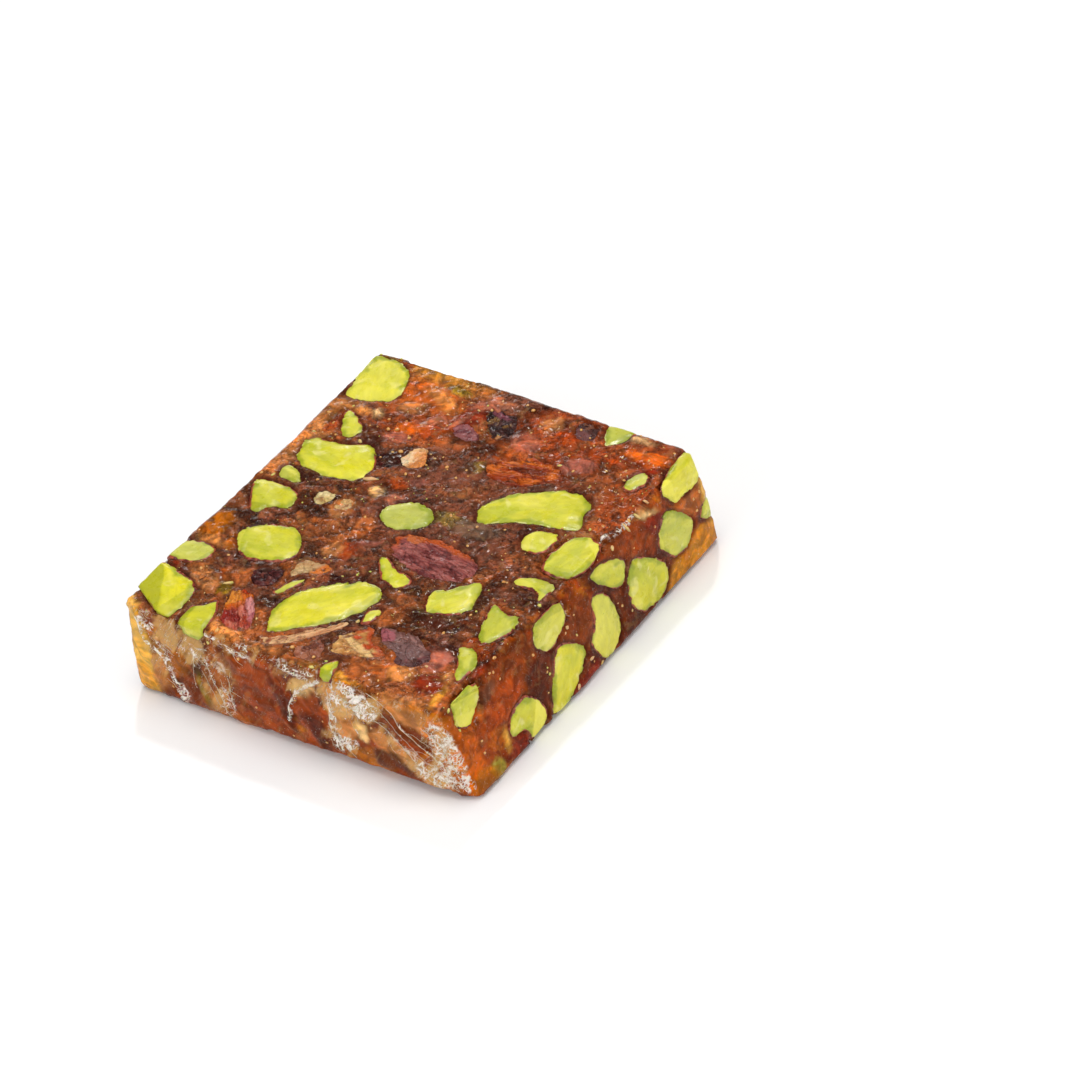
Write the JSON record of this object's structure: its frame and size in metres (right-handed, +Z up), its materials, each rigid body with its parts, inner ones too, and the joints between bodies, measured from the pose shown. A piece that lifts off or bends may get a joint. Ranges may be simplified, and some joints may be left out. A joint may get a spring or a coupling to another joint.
{
  "type": "slab of turkish delight with nuts and fruit",
  "caption": "Flat square slab of dark fig jelly sweet, studded with cut green pistachio kernels and pieces of dried fruit, one side dusted with starch.",
  "frame": {"origin": "middle of the base's bounding box, on the surface the slab lies on", "axes": "+Z up through the slab's thickness, +X towards the side where the most kernels show, -Y towards the starchy side"},
  "size_m": [0.0608, 0.0627, 0.0162],
  "materials": {
    "jelly": "sticky, softly glossy fig jelly",
    "pistachio": "smooth cut kernel, waxy",
    "kernel_skin": "thin wrinkled seed skin",
    "dark_fruit": "wrinkled dried fruit",
    "purple_fruit": "cut dried fruit flesh",
    "red_fruit": "shredded dried fruit",
    "orange_fruit": "fibrous translucent dried fruit",
    "cream": "chopped blanched nut",
    "peel": "dry kernel peel"
  },
  "bodies": {
    "root": {"beige_seedy_piece": "cream", "black_berry_piece": "dark_fruit", "blue_fruit": "dark_fruit", "brown_fig_piece": "dark_fruit", "cream_bit_left": "cream", "cream_bit_right": "cream", "cream_nut": "cream", "dark_raisin": "dark_fruit", "jelly_slab": "jelly", "kernel_peel": "peel", "orange_strip": "orange_fruit", "pistachio_back_01": "pistachio", "pistachio_back_02": "pistachio", "pistachio_back_03": "pistachio", "pistachio_base_01": "pistachio", "pistachio_base_02": "pistachio", "pistachio_left_01": "pistachio", "pistachio_left_02": "pistachio", "pistachio_left_03": "pistachio", "pistachio_right_01": "pistachio", "pistachio_right_02": "pistachio", "pistachio_right_03": "pistachio", "pistachio_right_04": "pistachio", "pistachio_right_05": "pistachio", "pistachio_right_06": "pistachio", "pistachio_right_07": "pistachio", "pistachio_right_08": "pistachio", "pistachio_right_09": "pistachio", "pistachio_top_01": "pistachio", "pistachio_top_02": "pistachio", "pistachio_top_03": "pistachio", "pistachio_top_04": "pistachio", "pistachio_top_05": "pistachio", "pistachio_top_06": "pistachio", "pistachio_top_07": "pistachio", "pistachio_top_08": "pistachio", "pistachio_top_09": "pistachio", "pistachio_top_10": "pistachio", "pistachio_top_11": "pistachio", "pistachio_top_12": "pistachio", "pistachio_top_13": "pistachio", "pistachio_top_14": "pistachio", "pistachio_top_15": "pistachio", "pistachio_top_16": "pistachio", "pistachio_top_17": "pistachio", "pistachio_top_18": "pistachio", "pistachio_top_19": "pistachio", "pistachio_top_20": "pistachio", "pistachio_top_21": "pistachio", "pistachio_top_22": "pistachio", "pistachio_top_23": "pistachio", "pistachio_top_24": "pistachio", "pistachio_top_25": "pistachio", "purple_flesh": "purple_fruit", "purple_fruit": "purple_fruit", "red_fruit": "red_fruit", "skinned_kernel": "kernel_skin", "tan_nut": "peel"}
  },
  "joints": []
}
